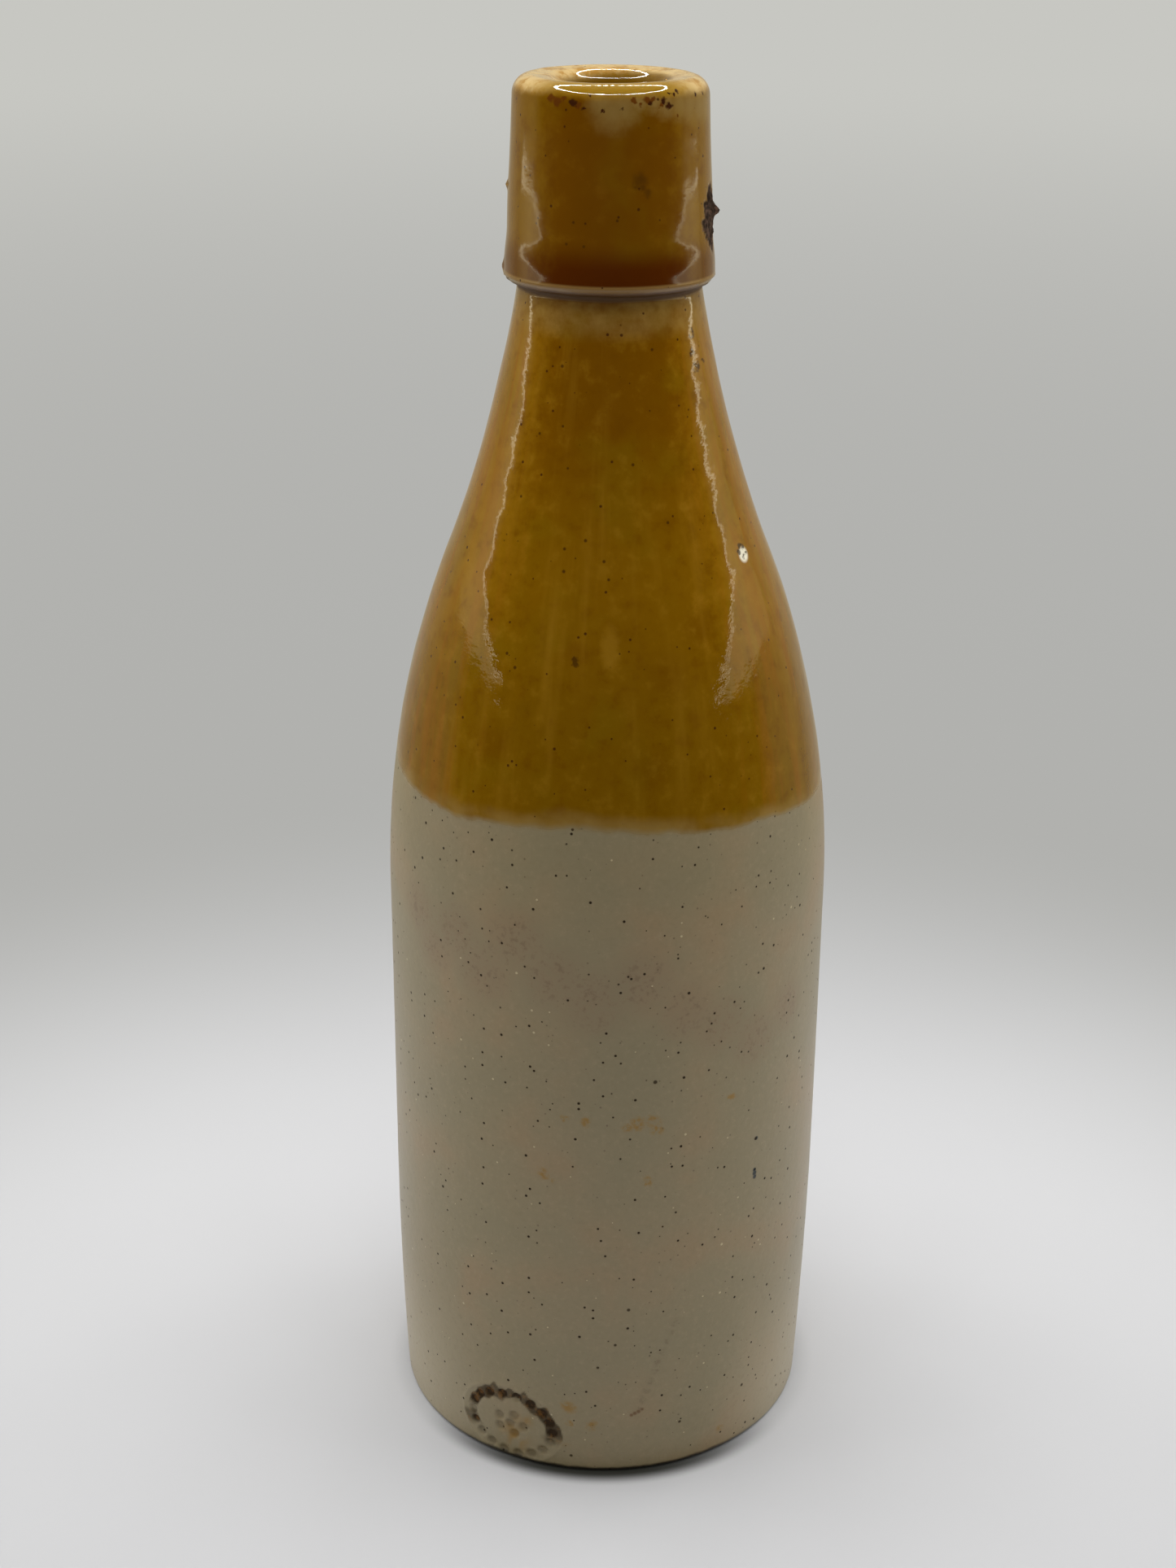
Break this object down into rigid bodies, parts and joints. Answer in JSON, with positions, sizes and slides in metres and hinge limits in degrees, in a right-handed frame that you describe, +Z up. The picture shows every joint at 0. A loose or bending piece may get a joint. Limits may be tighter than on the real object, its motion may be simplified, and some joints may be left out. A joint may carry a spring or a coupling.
{
  "type": "stoneware ginger beer bottle",
  "caption": "Thrown stoneware bottle with a straight body, long sloping shoulder, stout flared lip and straight cork bore; ochre glaze above, cream glaze below.",
  "frame": {"origin": "centre of the underside of the base, on the surface it stands on", "axes": "+Z up the bottle's axis and out of the mouth; the bottle is round, so +X and +Y are free"},
  "size_m": [0.0694, 0.0694, 0.2153],
  "materials": {
    "glazed_stoneware": "glossy ochre-brown glaze from the mouth to just under the shoulder, thin satin clear glaze over cream clay below, with iron specks"
  },
  "bodies": {
    "root": {"bottle": "glazed_stoneware"}
  },
  "joints": []
}
